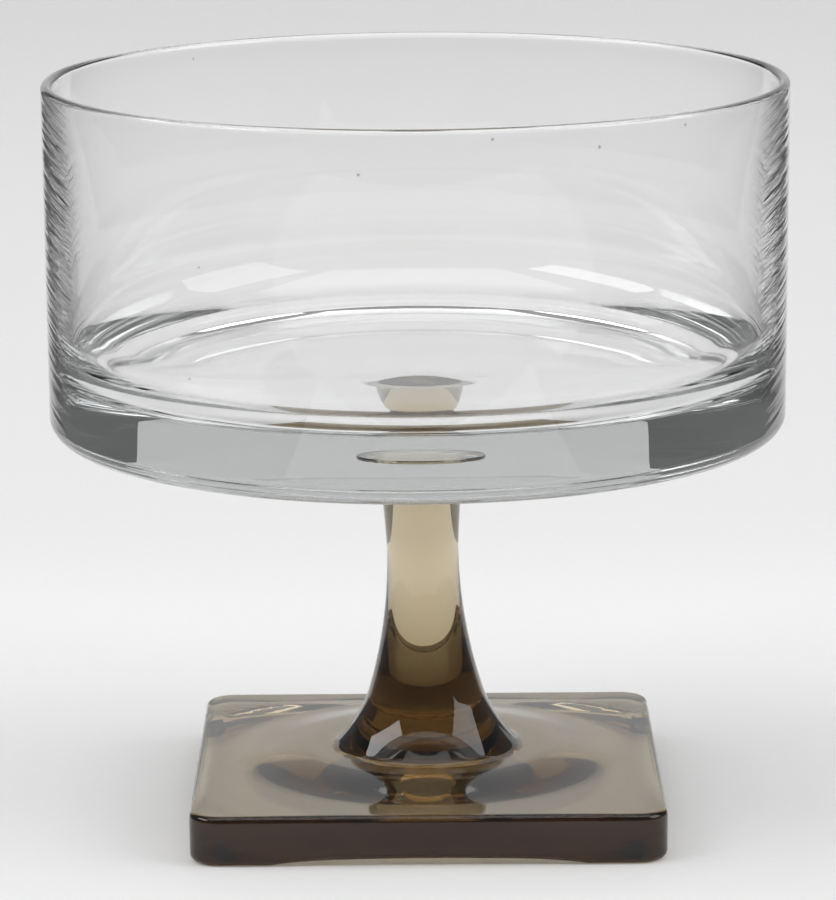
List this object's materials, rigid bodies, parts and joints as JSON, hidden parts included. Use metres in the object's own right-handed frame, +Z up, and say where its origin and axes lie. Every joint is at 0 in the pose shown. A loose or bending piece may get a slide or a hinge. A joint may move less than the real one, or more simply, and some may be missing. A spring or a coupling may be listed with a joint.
{
  "type": "sherbet dish",
  "caption": "Stemmed sherbet dish: straight-sided clear glass bowl with a heavy base, joined to a smoked glass stem that flares into a square foot.",
  "frame": {"origin": "on the table, under the middle of the square foot", "axes": "+Z up along the stem; +X and +Y square to the foot's sides; the picture looks along +Y"},
  "size_m": [0.09, 0.09, 0.0902],
  "materials": {
    "clear_glass": "polished, clear",
    "smoked_glass": "polished, brown-grey smoke tint"
  },
  "bodies": {
    "root": {"bowl": "clear_glass", "stem_and_foot": "smoked_glass"}
  },
  "joints": []
}
